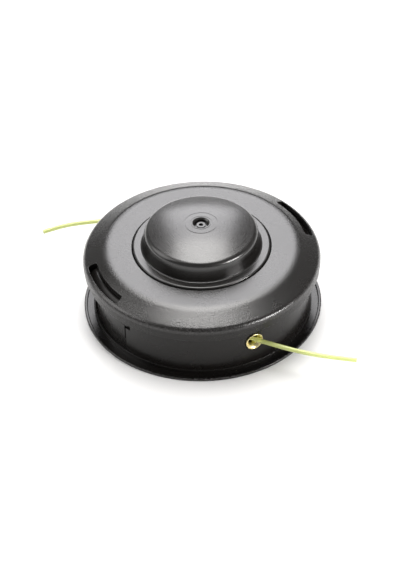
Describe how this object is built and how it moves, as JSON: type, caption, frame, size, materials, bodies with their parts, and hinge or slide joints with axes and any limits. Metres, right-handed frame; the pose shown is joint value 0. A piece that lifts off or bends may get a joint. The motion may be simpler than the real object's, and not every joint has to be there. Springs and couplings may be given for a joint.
{
  "type": "trimmer head",
  "caption": "Round bump-feed line trimmer head: black cup housing with a latched cover, domed bump knob, sprung spool inside and free ends of nylon line out of brass eyelets.",
  "frame": {"origin": "centre of the base flange's underside, on the spin axis", "axes": "+Z along the spin axis from the base up to the knob, -Y to the front eyelet, X through the two latches"},
  "size_m": [0.132, 0.1831, 0.0556],
  "materials": {
    "black_nylon": "fine spark grain",
    "spool_nylon": "smooth moulded",
    "line_nylon": "clear extruded line",
    "spring_steel": "bright zinc",
    "nut_steel": "turned",
    "eyelet_brass": "pressed, slightly dull"
  },
  "bodies": {
    "housing": {"housing": "black_nylon", "cover": "black_nylon", "arbor_nut": "nut_steel", "eyelet_front": "eyelet_brass", "eyelet_rear": "eyelet_brass", "line_end_front": "line_nylon", "line_end_rear": "line_nylon", "spring": "spring_steel"},
    "washer": {"thrust_washer": "spring_steel"},
    "spool": {"spool": "spool_nylon", "bump_knob": "black_nylon", "line_winding_lower": "line_nylon", "line_winding_upper": "line_nylon"}
  },
  "joints": [
    {"name": "bump", "type": "slide", "parent": "housing", "child": "washer", "axis": [0, 0, -1], "range_m": [0, 0.005], "stiffness_N_per_m": 1500, "springref_m": -0.01, "deforming": ["spring"]},
    {"name": "spool_index", "type": "hinge", "parent": "washer", "child": "spool", "pos_m": [0, 0, 0], "axis": [0, 0, 1], "range_deg": [0, 12]}
  ],
  "couplings": [
    {"joint": "spool_index", "follows": "bump", "rad_per_m": 41.8}
  ]
}
